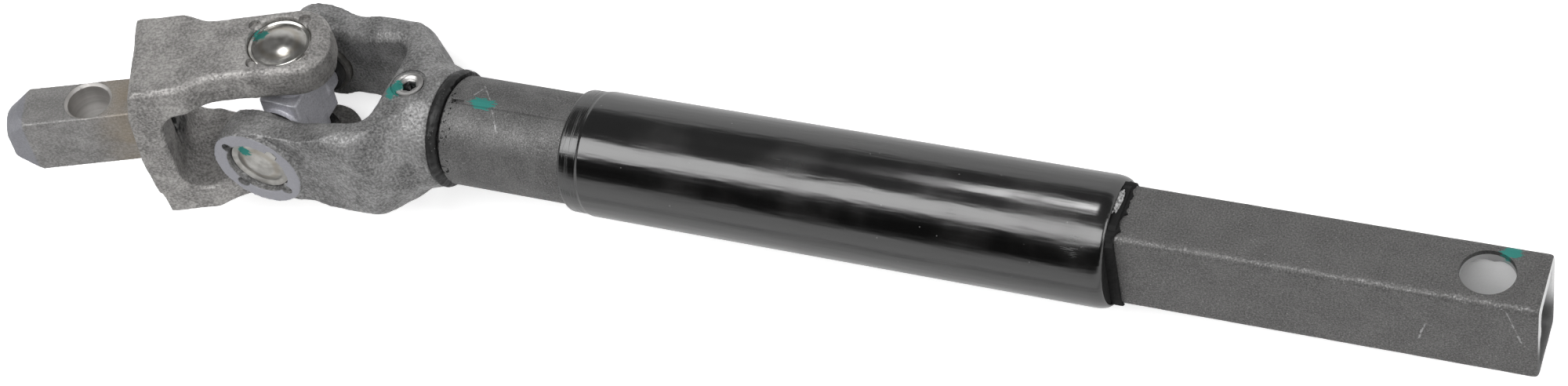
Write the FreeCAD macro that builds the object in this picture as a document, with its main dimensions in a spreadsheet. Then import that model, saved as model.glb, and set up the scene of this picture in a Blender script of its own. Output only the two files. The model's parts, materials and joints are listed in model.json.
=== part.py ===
import FreeCAD, Part
import math
import os

import Sketcher
from FreeCAD import Placement, Rotation, Vector

# Intermediate steering shaft: a universal joint, a round tube inside a bonded isolator
# sleeve, and a rectangular socket tube. Millimetres and degrees throughout.
# Shaft frame: the cross centre is the origin, +X runs down the shaft to the open socket
# end, +Z is the side with the bolt hole. Every piece is drawn straight in this frame, and
# its Placement then bends the joint and lays the shaft on the ground.

doc = FreeCAD.newDocument("steering_shaft")

DRIVING = [
    # how the joint is bent at rest
    ("lean_deg", 5.19),
    ("swing_deg", 23.98),
    # bearing cups and their rollers
    ("cup_radius", 8.0),
    ("cup_fit", 0.01),
    ("cup_floor", 1.2),
    ("cup_length", 9.1),
    ("cup_rim_drop", 0.3),
    ("cup_dome", 0.6),
    ("cup_crown_radius", 3.4),
    ("needle_count", 18),
    ("needle_radius", 0.95),
    ("needle_length", 5.8),
    ("needle_play", 0.05),
    ("needle_end_gap", 0.25),
    # cross
    ("trunnion_radius", 4.95),
    ("trunnion_play", 0.05),
    ("cross_half", 8.2),
    ("neck_length", 2.0),
    ("cross_thick", 5.2),
    ("cross_edge", 0.5),
    ("neck_radius", 5.8),
    ("neck_sink", 1.0),
    ("scallop_radius", 5.2),
    ("scallop_depth", 1.7),
    # trunnion seals
    ("seal_play", 0.1),
    ("seal_thickness", 2.0),
    ("seal_reach", 0.6),
    ("seal_fit", 0.01),
    # output yoke, on the shaft
    ("out_recess", 1.7),
    ("out_boss_radius", 11.79),
    ("out_boss_rise", 1.6),
    ("out_gap_step", 1.3),
    ("out_tip_radius", 12.0),
    ("out_arm_half", 11.0),
    ("out_arm_x", 12.0),
    ("out_arm_blend", 14.0),
    ("out_saddle_x", 29.8),
    ("out_saddle_corner", 4.5),
    ("out_half_height", 14.3),
    ("out_edge_round", 5.0),
    ("out_inner_edge", 1.8),
    ("out_flare_x", 25.5),
    ("out_bulge", 0.7),
    ("out_shoulder_radius", 25.2),
    ("out_shoulder_x", 26.3),
    ("out_brow_radius", 23.7),
    ("out_brow_x", 30.1),
    ("out_slope_radius", 16.0),
    ("out_slope_x", 38.6),
    ("out_end_x", 44.3),
    ("out_end_radius", 14.3),
    # input yoke, on the stub
    ("in_recess", 1.07),
    ("in_gap_step", 1.4),
    ("in_draft_deg", 3.0),
    ("in_head_half", 10.9),
    ("in_head_round", 9.8),
    ("in_tip_x", 12.5),
    ("in_waist_half", 9.9),
    ("in_waist_x", 17.5),
    ("in_waist_round", 9.0),
    ("in_block_half", 13.3),
    ("in_block_x", 24.0),
    ("in_block_round", 5.0),
    ("in_pocket_x", 30.9),
    ("in_pocket_corner", 5.5),
    ("in_top_x", 36.2),
    ("in_bottom_x", 36.4),
    ("in_hub_x", 40.6),
    ("in_hub_half", 6.0),
    ("in_hub_high", 3.0),
    ("in_hub_low", 8.0),
    ("in_hub_round", 8.0),
    ("in_side_x", 38.4),
    ("in_step_x", 37.4),
    ("in_step_z", 14.0),
    ("in_face_edge", 1.2),
    ("in_gap_edge", 0.8),
    # stub bar
    ("stub_width", 12.4),
    ("stub_height", 16.9),
    ("stub_edge", 0.5),
    ("stub_end_x", 72.3),
    ("stub_cone_length", 6.2),
    ("stub_tip_radius", 6.7),
    ("stub_tip_edge", 0.9),
    ("stub_tip_width", 9.4),
    ("stub_flat_length", 5.0),
    ("stub_hole_radius", 5.31),
    ("stub_hole_x", 51.06),
    ("stub_hole_edge", 0.5),
    ("stub_seat_depth", 4.4),
    ("spigot_width", 9.0),
    ("spigot_height", 12.6),
    ("spigot_proud", 0.7),
    # round tube in the output yoke
    ("tube_radius", 13.35),
    ("tube_bore_radius", 9.0),
    ("tube_end_x", 112.0),
    ("tube_edge", 0.6),
    ("tube_spigot_radius", 11.4),
    ("tube_fit", 0.01),
    ("tube_spigot_inset", 0.5),
    ("tube_shoulder_gap", 2.6),
    ("slot_length", 3.4),
    ("slot_width", 1.1),
    ("slot_depth", 1.0),
    ("slot_start", 1.4),
    ("slot_angle_deg", 8.0),
    # sealant ring over the joint line
    ("ring_radius", 14.1),
    # locking screw
    ("screw_radius", 3.75),
    ("screw_fit", 0.02),
    ("screw_ring_radius", 2.8),
    ("screw_cone_radius", 2.2),
    ("screw_cone_depth", 0.6),
    ("screw_sink", 0.25),
    ("screw_x", 35.8),
    ("screw_dog_radius", 1.8),
    ("screw_dog_length", 1.9),
    ("hex_across", 3.4),
    ("hex_depth", 1.6),
    # outer sleeve and the rubber bonded inside it
    ("sleeve_step", 0.52),
    ("sleeve_play", 0.1),
    ("sleeve_wall", 1.2),
    ("sleeve_start_x", 79.8),
    ("sleeve_end_x", 213.0),
    ("sleeve_crimp_length", 5.0),
    ("sleeve_crimp_drop", 0.3),
    ("sleeve_edge", 0.5),
    ("rubber_inset", 0.35),
    ("rubber_collar", 1.2),
    ("rubber_collar_length", 1.8),
    # rectangular socket tube
    ("socket_width", 16.8),
    ("socket_height", 23.1),
    ("socket_wall", 2.4),
    ("socket_corner", 1.4),
    ("socket_inner_corner", 0.6),
    ("socket_start_x", 114.0),
    ("socket_end_x", 306.0),
    ("socket_edge", 0.45),
    ("bolt_hole_radius", 5.89),
    ("bolt_hole_x", 293.56),
]

# Places worked out from the driving dimensions above.
DERIVED = [
    ("seal_in", "Sizes.cross_half + Sizes.neck_length"),
    ("cup_mouth", "Places.seal_in + Sizes.seal_thickness"),
    ("cup_seat", "Places.cup_mouth + Sizes.cup_length"),
    ("cup_inside", "Places.cup_seat - Sizes.cup_floor"),
    ("out_face", "Places.cup_seat + Sizes.out_recess"),
    ("out_span", "2 * Places.out_face"),
    ("out_ear_face", "Places.out_face - Sizes.out_boss_rise"),
    ("out_belly", "Places.out_ear_face + Sizes.out_bulge"),
    ("out_gap_half", "Places.cup_mouth + Sizes.out_gap_step"),
    ("out_boss_length", "Places.out_face - Places.out_gap_half"),
    ("out_far_x", "Sizes.out_end_x + Sizes.out_tip_radius"),
    ("out_near_x", "Sizes.out_tip_radius + Sizes.out_boss_rise"),
    ("in_face", "Places.cup_seat + Sizes.in_recess"),
    ("in_span", "2 * Places.in_face"),
    ("in_gap_half", "Places.cup_mouth + Sizes.in_gap_step"),
    ("in_block_mid", "Sizes.in_block_half + Places.in_face * tan(Sizes.in_draft_deg)"),
    ("in_waist_mid", "Sizes.in_waist_half + Places.in_face * tan(Sizes.in_draft_deg)"),
    ("in_head_mid", "Sizes.in_head_half + Places.in_face * tan(Sizes.in_draft_deg)"),
    ("in_tip_mid", "Sizes.in_tip_x + Places.in_face * tan(Sizes.in_draft_deg)"),
    ("in_open_x", "Sizes.in_tip_x + Places.in_face"),
    ("in_seat_x", "Sizes.in_hub_x - Sizes.stub_seat_depth"),
    ("in_past_x", "Sizes.in_hub_x + Sizes.stub_seat_depth"),
    ("stub_seat_length", "2 * Sizes.stub_seat_depth"),
    ("stub_half_width", "Sizes.stub_width / 2"),
    ("stub_half_height", "Sizes.stub_height / 2"),
    ("stub_corner", "sqrt(Sizes.stub_width ^ 2 + Sizes.stub_height ^ 2) / 2"),
    ("stub_tip_half", "Sizes.stub_tip_width / 2"),
    ("stub_flat_x", "Sizes.stub_end_x - Sizes.stub_flat_length"),
    ("stub_cone_x", "Sizes.stub_end_x - Sizes.stub_cone_length"),
    ("stub_tip_x", "Sizes.stub_end_x - Sizes.stub_tip_edge"),
    ("stub_nose_radius", "Sizes.stub_tip_radius - Sizes.stub_tip_edge"),
    ("stub_bar_length", "Sizes.stub_end_x - Sizes.in_hub_x + Sizes.stub_seat_depth"),
    ("spigot_half_width", "Sizes.spigot_width / 2"),
    ("spigot_half_height", "Sizes.spigot_height / 2"),
    ("spigot_length", "Sizes.in_hub_x - Sizes.stub_seat_depth - Sizes.in_pocket_x"
     " + Sizes.spigot_proud"),
    ("cup_body", "Sizes.cup_radius - Sizes.cup_fit"),
    ("cup_bore", "Sizes.trunnion_radius + 2 * Sizes.needle_radius + 2 * Sizes.needle_play"),
    ("cup_rim", "Places.cup_seat - Sizes.cup_rim_drop"),
    ("cup_dome_top", "Places.cup_seat + Sizes.cup_dome"),
    ("needle_circle", "Sizes.trunnion_radius + Sizes.needle_radius + Sizes.needle_play"),
    ("needle_start", "Places.cup_inside - Sizes.needle_end_gap - Sizes.needle_length"),
    ("trunnion_end", "Places.cup_inside - Sizes.trunnion_play"),
    ("seal_end", "Places.cup_mouth + Sizes.seal_reach"),
    ("seal_body", "Places.cup_bore - Sizes.seal_play"),
    ("seal_bore", "Sizes.trunnion_radius + Sizes.seal_fit"),
    ("neck_start", "Sizes.cross_half - Sizes.scallop_depth - Sizes.neck_sink"),
    ("scallop_centre", "Sizes.cross_half + Sizes.scallop_radius - Sizes.scallop_depth"),
    ("tube_spigot", "Sizes.tube_spigot_radius - Sizes.tube_fit"),
    ("tube_spigot_x", "Sizes.out_saddle_x + Sizes.tube_spigot_inset"),
    ("tube_shoulder_x", "Sizes.out_end_x + Sizes.tube_shoulder_gap"),
    ("tube_edge_x", "Places.tube_shoulder_x + Sizes.tube_edge"),
    ("tube_edge_radius", "Sizes.tube_radius - Sizes.tube_edge"),
    ("slot_start_x", "Places.tube_shoulder_x + Sizes.slot_start"),
    ("slot_half_width", "Sizes.slot_width / 2"),
    ("slot_floor", "Sizes.tube_radius - Sizes.slot_depth"),
    ("screw_body", "Sizes.screw_radius - Sizes.screw_fit"),
    ("screw_dog_bore", "Sizes.screw_dog_radius + Sizes.screw_fit"),
    ("screw_top", "Sizes.out_half_height - Sizes.screw_sink"),
    ("screw_seat", "Sizes.tube_spigot_radius"),
    ("screw_tip", "Sizes.tube_spigot_radius - Sizes.screw_dog_length"),
    ("screw_cone_floor", "Sizes.out_half_height - Sizes.screw_sink - Sizes.screw_cone_depth"),
    ("hex_floor", "Places.screw_cone_floor - Sizes.hex_depth"),
    ("hex_corner", "Sizes.hex_across / sqrt(3)"),
    ("socket_reach", "sqrt((Sizes.socket_width / 2 - Sizes.socket_corner) ^ 2"
     " + (Sizes.socket_height / 2 - Sizes.socket_corner) ^ 2) + Sizes.socket_corner"),
    ("sleeve_bore", "max(Sizes.tube_radius + Sizes.sleeve_step;"
     " Places.socket_reach + Sizes.sleeve_play)"),
    ("sleeve_radius", "Places.sleeve_bore + Sizes.sleeve_wall"),
    ("sleeve_crimp_x", "Sizes.sleeve_start_x + Sizes.sleeve_crimp_length"),
    ("sleeve_crimp_radius", "Places.sleeve_radius - Sizes.sleeve_crimp_drop"),
    ("sleeve_crimp_bore", "Sizes.tube_radius + Sizes.tube_fit"),
    ("sleeve_end_edge_x", "Sizes.sleeve_end_x - Sizes.sleeve_edge"),
    ("sleeve_end_edge_radius", "Places.sleeve_radius - Sizes.sleeve_edge"),
    ("rubber_end_x", "Sizes.sleeve_end_x - Sizes.rubber_inset"),
    ("rubber_collar_x", "Sizes.sleeve_end_x - 2 * Sizes.rubber_inset"),
    ("rubber_collar_end", "Sizes.rubber_collar_length + Sizes.rubber_inset * 2"),
    ("rubber_collar_half_width", "Sizes.socket_width / 2 + Sizes.rubber_collar"),
    ("rubber_collar_half_height", "Sizes.socket_height / 2 + Sizes.rubber_collar"),
    ("rubber_collar_corner", "Sizes.socket_corner + Sizes.rubber_collar"),
    ("socket_length", "Sizes.socket_end_x - Sizes.socket_start_x"),
    ("socket_half_width", "Sizes.socket_width / 2"),
    ("socket_half_height", "Sizes.socket_height / 2"),
    ("socket_hollow_half_width", "Sizes.socket_width / 2 - Sizes.socket_wall"),
    ("socket_hollow_half_height", "Sizes.socket_height / 2 - Sizes.socket_wall"),
]

sheets = {}


def fill_sheet(name, rows, is_formula):
    sheet = doc.addObject("Spreadsheet::Sheet", name)
    for number, (alias, content) in enumerate(rows, start=1):
        sheet.set("A%d" % number, alias)
        sheet.setAlias("B%d" % number, alias)
        sheet.set("B%d" % number, "=" + content if is_formula else str(content))
    sheets[name] = sheet
    doc.recompute()
    return {alias for alias, content in rows}


driving_names = fill_sheet("Sizes", DRIVING, False)
fill_sheet("Places", DERIVED, True)


def cell(name):
    return ("Sizes." if name in driving_names else "Places.") + name


def size(name):
    return float(sheets[cell(name).split(".")[0]].get(name))


def signed(token):
    # A coordinate is "0" or the name of a cell, with a minus in front where it lies on
    # the negative side. It gives the number and the expression that keeps it.
    if token == "0":
        return 0.0, None
    if token.startswith("-"):
        return -size(token[1:]), "-" + cell(token[1:])
    return size(token), cell(token)


def bind(feature, **sizes):
    for name, token in sizes.items():
        feature.setExpression(name, signed(token)[1])
    return feature


def locate(feature, x="0", y="0", z="0"):
    for name, token in (("x", x), ("y", y), ("z", z)):
        if token != "0":
            feature.setExpression("Placement.Base." + name, signed(token)[1])
    return feature


OUT = Vector(0, 0, 1)
ALONG = Vector(1, 0, 0)
ASIDE = Vector(0, 1, 0)

PLANES = {
    "XY": Rotation(),
    "XZ": Rotation(Vector(1, 0, 0), 90),
    "YZ": Rotation(Vector(1, 1, 1), 120),
}


def negated(token):
    if token == "0":
        return token
    return token[1:] if token.startswith("-") else "-" + token


def outline(label, plane, corners, mirrored=False):
    # A closed outline with straight sides. A corner is (across, up) or
    # (across, up, radius), in cell names. A mirrored outline is given for its upper half
    # and repeated below the middle line.
    corners = list(corners)
    if mirrored:
        corners += [(c[0], negated(c[1])) + tuple(c[2:]) for c in reversed(corners)]
    sketch = doc.addObject("Sketcher::SketchObject", label)
    sketch.Placement = Placement(Vector(), PLANES[plane])
    count = len(corners)
    rules = []
    sources = {}
    places = []
    points = []
    for across, up, *_ in corners:
        places.append(Vector(signed(across)[0], signed(up)[0], 0))
        points.append(sketch.addGeometry(Part.Point(places[-1]), True))
        for kind, token, axis in (("DistanceX", across, -2), ("DistanceY", up, -1)):
            number, source = signed(token)
            if source is None:
                rules.append(Sketcher.Constraint("PointOnObject", points[-1], 1, axis))
            else:
                sources[len(rules)] = source
                rules.append(Sketcher.Constraint(kind, -1, 1, points[-1], 1, number))
    trims = []
    for here, corner in enumerate(corners):
        before = (places[here - 1] - places[here]).normalize()
        after = (places[(here + 1) % count] - places[here]).normalize()
        reach = size(corner[2]) if len(corner) > 2 else 0.0
        trims.append(reach / math.tan(before.getAngle(after) / 2))
    sides = []
    for here in range(count):
        there = (here + 1) % count
        along = (places[there] - places[here]).normalize()
        sides.append(sketch.addGeometry(Part.LineSegment(
            places[here] + along * trims[here], places[there] - along * trims[there])))
        for corner, end in ((here, 1), (there, 2)):
            if trims[corner]:
                rules.append(Sketcher.Constraint("PointOnObject", points[corner], 1, sides[-1]))
            else:
                rules.append(Sketcher.Constraint("Coincident", sides[-1], end, points[corner], 1))
    for here in range(count):
        if trims[here]:
            side_in, side_out = sides[here - 1], sides[here]
            radius_name = corners[here][2]
            arc, first, last = corner_arc(sketch, side_in, side_out, places[here], size(radius_name))
            rules.append(Sketcher.Constraint("Tangent", side_in, 2, arc, first))
            rules.append(Sketcher.Constraint("Tangent", arc, last, side_out, 1))
            sources[len(rules)] = cell(radius_name)
            rules.append(Sketcher.Constraint("Radius", arc, size(radius_name)))
    sketch.addConstraint(rules)
    for number, source in sources.items():
        sketch.setExpression("Constraints[%d]" % number, source)
    return sketch


def corner_arc(sketch, side_in, side_out, corner, radius):
    # The arc between two trimmed sides, with the numbers of its ends at each of them. A
    # sketch runs every arc counterclockwise, so at a clockwise corner its ends swap.
    start = sketch.Geometry[side_in].EndPoint
    end = sketch.Geometry[side_out].StartPoint
    inward = ((start + end) / 2 - corner).normalize()
    middle = corner + inward * (math.hypot(radius, (start - corner).Length) - radius)
    if (start - corner).cross(end - corner).z < 0:
        return sketch.addGeometry(Part.Arc(start, middle, end)), 1, 2
    return sketch.addGeometry(Part.Arc(end, middle, start)), 2, 1


def extrusion(label, sketch, forward, back=None):
    block = doc.addObject("Part::Extrusion", label)
    block.Base = sketch
    block.DirMode = "Normal"
    block.Solid = True
    bind(block, LengthFwd=forward)
    if back:
        bind(block, LengthRev=back)
    return block


def turned(label, corners, axis=OUT):
    # A solid of revolution about the part's own X or Z axis, from half its section.
    piece = doc.addObject("Part::Revolution", label)
    piece.Source = outline(label + "_section", "XZ", corners)
    piece.Axis = axis
    piece.Angle = 360
    piece.Solid = True
    return piece


def cylinder(label, radius, length, axis=OUT, **start):
    rod = doc.addObject("Part::Cylinder", label)
    bind(rod, Radius=radius, Height=length)
    rod.Placement = Placement(Vector(), Rotation(OUT, axis))
    return locate(rod, **start)


def box(label, length, width, height, **start):
    block = doc.addObject("Part::Box", label)
    bind(block, Length=length, Width=width, Height=height)
    return locate(block, **start)


def rounded_bar(label, half_width, half_height, corner, length, **start):
    # A bar along X with a rounded rectangular section centred on the X axis.
    section = outline(label + "_section", "YZ", [
        ("-" + half_width, half_height, corner),
        (half_width, half_height, corner),
    ], mirrored=True)
    return locate(extrusion(label, section, length), **start)


def cut(label, base, *tools):
    for number, tool in enumerate(tools, start=1):
        last = number == len(tools)
        result = doc.addObject("Part::Cut", label if last else "%s_step_%d" % (label, number))
        result.Base = base
        result.Tool = tool
        base = result
    return base


def joined(label, *shapes):
    result = doc.addObject("Part::MultiFuse", label)
    result.Shapes = list(shapes)
    result.Refine = True
    return result


def shared(label, *shapes):
    result = doc.addObject("Part::MultiCommon", label)
    result.Shapes = list(shapes)
    return result


def eased(label, base, width, wanted):
    # Bevels, by the width in one cell, the edges for which wanted(edge) is true.
    doc.recompute()
    result = doc.addObject("Part::Chamfer", label)
    result.Base = base
    amount = size(width)
    result.Edges = [(number, amount, amount)
                    for number, edge in enumerate(base.Shape.Edges, start=1) if wanted(edge)]
    return result


def output_yoke():
    # Forged yoke on the shaft: two ears beside the cross, a saddle between them, and a
    # round neck that takes the tube's spigot and the locking screw.
    arms = outline("output_side", "XZ", [
        ("out_far_x", "out_half_height"),
        ("out_flare_x", "out_half_height", "out_arm_blend"),
        ("out_arm_x", "out_arm_half", "out_arm_blend"),
        ("0", "out_tip_radius"),
    ], mirrored=True)
    plan = outline("output_plan", "XY", [
        ("out_saddle_x", "out_gap_half", "out_saddle_corner"),
        ("-out_near_x", "out_gap_half"),
        ("-out_near_x", "out_ear_face"),
        ("out_arm_x", "out_ear_face", "out_arm_blend"),
        ("out_shoulder_x", "out_belly"),
        ("out_far_x", "out_belly"),
    ], mirrored=True)
    shoulder = turned("output_shoulder", [
        ("-out_near_x", "0"),
        ("-out_near_x", "out_shoulder_radius"),
        ("out_shoulder_x", "out_shoulder_radius"),
        ("out_brow_x", "out_brow_radius"),
        ("out_slope_x", "out_slope_radius"),
        ("out_end_x", "out_end_radius"),
        ("out_end_x", "0"),
    ], ALONG)
    side = joined(
        "output_ears",
        extrusion("output_arms", arms, "out_face", "out_face"),
        cylinder("output_tips", "out_tip_radius", "out_span", ASIDE, y="-out_face"))
    section = outline("output_section", "YZ", [
        ("-out_belly", "out_half_height", "out_edge_round"),
        ("out_belly", "out_half_height", "out_edge_round"),
    ], mirrored=True)
    forged = shared("output_forging", side, shoulder,
                    extrusion("output_fork", plan, "out_shoulder_radius", "out_shoulder_radius"),
                    extrusion("output_bar", section, "out_far_x", "out_near_x"))
    eased_fork = eased("output_eased", forged, "out_inner_edge", is_fork_inside)
    blank = joined(
        "output_blank", eased_fork,
        cylinder("output_front_boss", "out_boss_radius", "out_boss_length", ASIDE, y="-out_face"),
        cylinder("output_rear_boss", "out_boss_radius", "out_boss_length", ASIDE, y="out_gap_half"))
    return cut(
        "output_yoke", blank,
        cylinder("output_cup_bores", "cup_radius", "out_span", ASIDE, y="-out_face"),
        cylinder("output_tube_bore", "tube_spigot_radius", "out_end_x", ALONG),
        cylinder("output_screw_bore", "screw_radius", "out_half_height", OUT, x="screw_x"))


def is_fork_inside(edge):
    # The edges of the ears' inner faces and of the saddle between them.
    reach = edge.BoundBox
    gap = size("out_gap_half") + 1e-3
    inside = max(abs(reach.YMin), abs(reach.YMax)) < gap and reach.XMax < size("out_saddle_x") + 1e-3
    return inside and (reach.ZLength > 1e-3 or reach.YLength > 1e-3) and not is_across(edge)


def is_across(edge):
    # Seams that run from one side of the fork to the other, where two faces flow together.
    start, end = edge.valueAt(edge.FirstParameter), edge.valueAt(edge.LastParameter)
    return isinstance(edge.Curve, Part.Line) and abs(start.z + end.z) < 1e-3 and start.z * end.z < 0


def input_yoke():
    # Forged yoke on the stub: a block with a domed hub where the stub goes in, and two
    # ears with round heads above and below the cross.
    side = outline("input_side", "XZ", [
        ("in_open_x", "in_face"),
        ("-in_top_x", "in_face"),
        ("-in_hub_x", "in_hub_high", "in_hub_round"),
        ("-in_hub_x", "-in_hub_low"),
        ("-in_step_x", "-in_step_z"),
        ("-in_bottom_x", "-in_face"),
        ("in_open_x", "-in_face"),
        ("in_open_x", "-in_gap_half"),
        ("-in_pocket_x", "-in_gap_half", "in_pocket_corner"),
        ("-in_pocket_x", "in_gap_half", "in_pocket_corner"),
        ("in_open_x", "in_gap_half"),
    ])
    plan = outline("input_plan", "XY", [
        ("-in_hub_x", "in_hub_half", "in_hub_round"),
        ("-in_side_x", "in_block_mid"),
        ("-in_block_x", "in_block_mid", "in_block_round"),
        ("-in_waist_x", "in_waist_mid", "in_waist_round"),
        ("in_tip_mid", "in_head_mid", "in_head_round"),
    ], mirrored=True)
    body = extrusion("input_body", plan, "in_face", "in_face")
    bind(body, TaperAngle="-in_draft_deg", TaperAngleRev="-in_draft_deg")
    forged = shared("input_forging", body,
                    extrusion("input_fork", side, "in_block_mid", "in_block_mid"))
    eased_faces = eased("input_eased", forged, "in_face_edge", is_ear_outside)
    eased_fork = eased("input_eased_gap", eased_faces, "in_gap_edge", is_ear_inside)
    return cut(
        "input_yoke", eased_fork,
        cylinder("input_cup_bores", "cup_radius", "in_span", OUT, z="-in_face"),
        rounded_bar("input_seat", "stub_half_width", "stub_half_height", "stub_edge",
                    "stub_seat_length", x="-in_past_x"),
        box("input_spigot_hole", "in_hub_x", "spigot_width", "spigot_height",
            x="-in_hub_x", y="-spigot_half_width", z="-spigot_half_height"))


def is_level(edge, height):
    reach = edge.BoundBox
    return reach.ZLength < 1e-3 and abs(abs(reach.ZMin) - height) < 1e-3


def is_ear_outside(edge):
    return is_level(edge, size("in_face"))


def is_ear_inside(edge):
    return is_level(edge, size("in_gap_half")) and edge.BoundBox.XLength > 1e-3


def stub_bar():
    # Flat-sided bar with a tapered lead-in, cross-drilled for the clamp bolt, and a
    # spigot that is driven through the yoke's wall and staked over.
    bar = rounded_bar("stub_blank", "stub_half_width", "stub_half_height", "stub_edge",
                      "stub_bar_length", x="-stub_end_x")
    wedge = extrusion("stub_wedge", outline("stub_plan", "XY", [
        ("-in_seat_x", "stub_half_width"),
        ("-stub_flat_x", "stub_half_width"),
        ("-stub_end_x", "stub_tip_half"),
    ], mirrored=True), "stub_half_height", "stub_half_height")
    lead_in = turned("stub_lead_in", [
        ("-in_seat_x", "0"),
        ("-in_seat_x", "stub_corner"),
        ("-stub_cone_x", "stub_corner"),
        ("-stub_tip_x", "stub_tip_radius"),
        ("-stub_end_x", "stub_nose_radius"),
        ("-stub_end_x", "0"),
    ], ALONG)
    spigot = box("stub_spigot", "spigot_length", "spigot_width", "spigot_height",
                 x="-in_seat_x", y="-spigot_half_width", z="-spigot_half_height")
    drilled = cut(
        "stub_drilled", joined("stub_joined", shared("stub_body", bar, wedge, lead_in), spigot),
        cylinder("stub_hole", "stub_hole_radius", "stub_height", OUT,
                 x="-stub_hole_x", z="-stub_half_height"))
    return eased("input_stub", drilled, "stub_hole_edge", is_stub_hole_rim)


def is_stub_hole_rim(edge):
    curve = edge.Curve
    return isinstance(curve, Part.Circle) and abs(curve.Radius - size("stub_hole_radius")) < 1e-4


def cross():
    # Forged cross: a square block with scalloped sides, a round neck at each side and
    # a ground trunnion on each neck.
    square = outline("cross_face", "YZ", [
        ("-cross_half", "cross_half"),
        ("cross_half", "cross_half"),
    ], mirrored=True)
    block = extrusion("cross_block", square, "cross_thick", "cross_thick")
    scallops = []
    arms = []
    for name, turn in ARMS:
        about_x = Placement(Vector(), Rotation(ALONG, turn))
        notch = cylinder("cross_scallop_bar_" + name, "scallop_radius", "cross_half", ALONG,
                         x="-cross_thick", z="scallop_centre")
        scallops.append(turned_about_x(notch, "cross_scallop_" + name, about_x))
        arm = turned("cross_arm_" + name, [
            ("0", "neck_start"),
            ("neck_radius", "neck_start"),
            ("neck_radius", "seal_in"),
            ("trunnion_radius", "seal_in"),
            ("trunnion_radius", "trunnion_end"),
            ("0", "trunnion_end"),
        ])
        arm.Placement = about_x
        arms.append(arm)
    notched = cut("cross_notched", block, *scallops)
    eased_block = eased("cross_eased", notched, "cross_edge", is_cross_face_edge)
    return joined("cross", eased_block, *arms)


def turned_about_x(shape, label, placement):
    holder = doc.addObject("Part::Compound", label)
    holder.Links = [shape]
    holder.Placement = placement
    return holder


def is_cross_face_edge(edge):
    box_of_edge = edge.BoundBox
    return box_of_edge.XLength < 1e-4 and abs(abs(box_of_edge.XMin) - size("cross_thick")) < 1e-4


def bearing_cup(name):
    # Drawn cup: an open mouth towards the cross and a floor that crowns outwards.
    return turned("cup_" + name, [
        ("cup_bore", "cup_mouth"),
        ("cup_body", "cup_mouth"),
        ("cup_body", "cup_rim"),
        ("cup_crown_radius", "cup_dome_top"),
        ("0", "cup_dome_top"),
        ("0", "cup_inside"),
        ("cup_bore", "cup_inside"),
    ])


NEEDLE_SIDES = 6


def needle_rollers(name):
    # A full complement of loose needles between the cup and its trunnion. Each is drawn
    # with flats, inside the round of the real needle.
    rollers = []
    count = int(size("needle_count"))
    for number in range(count):
        label = "needle_%s_%d" % (name, number + 1)
        roller = doc.addObject("Part::Prism", label)
        roller.Polygon = NEEDLE_SIDES
        bind(roller, Circumradius="needle_radius", Height="needle_length")
        locate(roller, x="needle_circle", z="needle_start")
        rollers.append(turned_about_x(roller, label + "_place",
                                      Placement(Vector(), Rotation(OUT, 360 * number / count))))
    rollers_together = doc.addObject("Part::Compound", "needles_" + name)
    rollers_together.Links = rollers
    return rollers_together


def trunnion_seal(name):
    # Rubber ring on the trunnion that reaches into the cup's mouth and closes it.
    return turned("seal_" + name, [
        ("seal_bore", "seal_in"),
        ("seal_body", "seal_in"),
        ("seal_body", "seal_end"),
        ("seal_bore", "seal_end"),
    ])


def round_tube():
    # Steel tube: a turned-down spigot in the yoke, a shoulder, and a punched mark.
    blank = turned("round_tube_blank", [
        ("tube_spigot_x", "tube_bore_radius"),
        ("tube_spigot_x", "tube_spigot"),
        ("tube_shoulder_x", "tube_spigot"),
        ("tube_shoulder_x", "tube_edge_radius"),
        ("tube_edge_x", "tube_radius"),
        ("tube_end_x", "tube_radius"),
        ("tube_end_x", "tube_bore_radius"),
    ], ALONG)
    punch = box("tube_slot_punch", "slot_length", "slot_width", "slot_depth",
                x="slot_start_x", y="-slot_half_width", z="slot_floor")
    slot = turned_about_x(punch, "tube_slot", Placement(Vector(), Rotation(ALONG, size("slot_angle_deg"))))
    dog_hole = cylinder("tube_dog_hole", "screw_dog_bore", "tube_radius", OUT, x="screw_x")
    return cut("round_tube", blank, slot, dog_hole)


def sealant_ring():
    return turned("sealant_ring", [
        ("out_end_x", "tube_spigot_radius"),
        ("out_end_x", "ring_radius"),
        ("tube_shoulder_x", "ring_radius"),
        ("tube_shoulder_x", "tube_spigot_radius"),
    ], ALONG)


def locking_screw():
    # Plug with a countersunk socket. Its dog point sits in a hole in the tube's spigot.
    body = turned("locking_screw_body", [
        ("0", "screw_tip"),
        ("screw_dog_radius", "screw_tip"),
        ("screw_dog_radius", "screw_seat"),
        ("screw_body", "screw_seat"),
        ("screw_body", "screw_top"),
        ("screw_ring_radius", "screw_top"),
        ("screw_cone_radius", "screw_cone_floor"),
        ("0", "screw_cone_floor"),
    ])
    hexagon = doc.addObject("Part::Prism", "locking_screw_hex")
    hexagon.Polygon = 6
    bind(hexagon, Circumradius="hex_corner", Height="hex_depth")
    locate(hexagon, z="hex_floor")
    socketed = cut("locking_screw_socketed", body, hexagon)
    moved = doc.addObject("Part::Compound", "locking_screw")
    moved.Links = [locate(socketed, x="screw_x")]
    return moved


def outer_sleeve():
    # Thin steel sleeve, crimped down on to the round tube at its left end.
    return turned("outer_sleeve", [
        ("sleeve_start_x", "sleeve_crimp_bore"),
        ("sleeve_start_x", "sleeve_crimp_radius"),
        ("sleeve_crimp_x", "sleeve_crimp_radius"),
        ("sleeve_crimp_x", "sleeve_radius"),
        ("sleeve_end_edge_x", "sleeve_radius"),
        ("sleeve_end_x", "sleeve_end_edge_radius"),
        ("sleeve_end_x", "sleeve_bore"),
        ("sleeve_crimp_x", "sleeve_bore"),
        ("sleeve_crimp_x", "sleeve_crimp_bore"),
    ], ALONG)


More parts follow.
